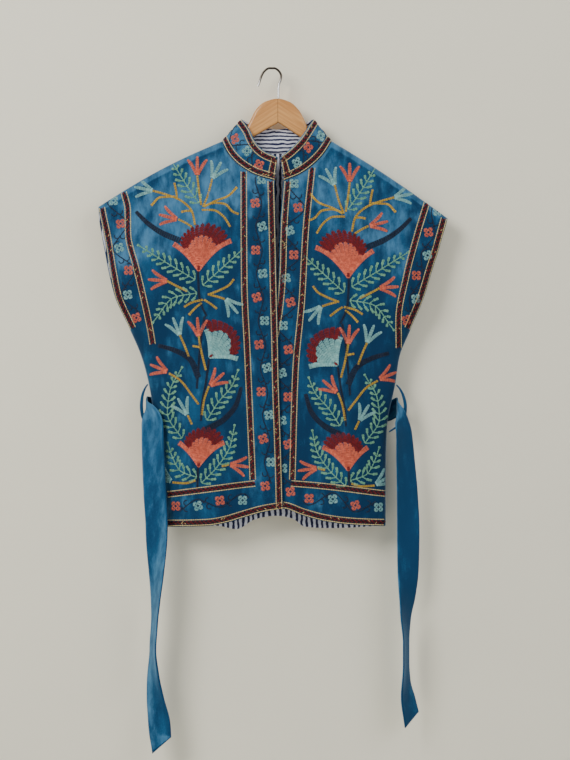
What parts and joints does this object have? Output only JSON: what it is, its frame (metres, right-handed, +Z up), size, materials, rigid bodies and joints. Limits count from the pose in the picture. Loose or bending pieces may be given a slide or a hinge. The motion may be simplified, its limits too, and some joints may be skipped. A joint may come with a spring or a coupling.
{
  "type": "embroidered waistcoat on a hanger",
  "caption": "Velvet waistcoat with cap sleeves, stand collar and tie belt, embroidered with flowers, hanging open-necked on a wooden hanger.",
  "frame": {"origin": "inside of the crown of the hanger's hook, where the hanger hangs from a rail or wall hook", "axes": "+Z up, the front of the garment faces -Y, the wearer's left is at +X"},
  "size_m": [0.5802, 0.0731, 1.1362],
  "materials": {
    "velvet": "short-pile cotton velvet, deep teal blue, with chain-stitch embroidery",
    "lining": "plain cotton, white with navy stripes",
    "belt_velvet": "short-pile cotton velvet, deep teal blue",
    "hanger_wood": "pale beech, satin lacquer",
    "hanger_steel": "bent steel wire"
  },
  "bodies": {
    "root": {"front_right": "velvet", "front_left": "velvet", "back": "velvet", "back_lining": "lining", "collar_right": "velvet", "collar_left": "velvet", "collar_lining": "lining", "belt_right_end": "belt_velvet", "belt_back": "belt_velvet", "belt_left_end": "belt_velvet", "belt_loop_right": "belt_velvet", "belt_loop_left": "belt_velvet", "hanger_wood": "hanger_wood", "hanger_hook": "hanger_steel"}
  },
  "joints": []
}
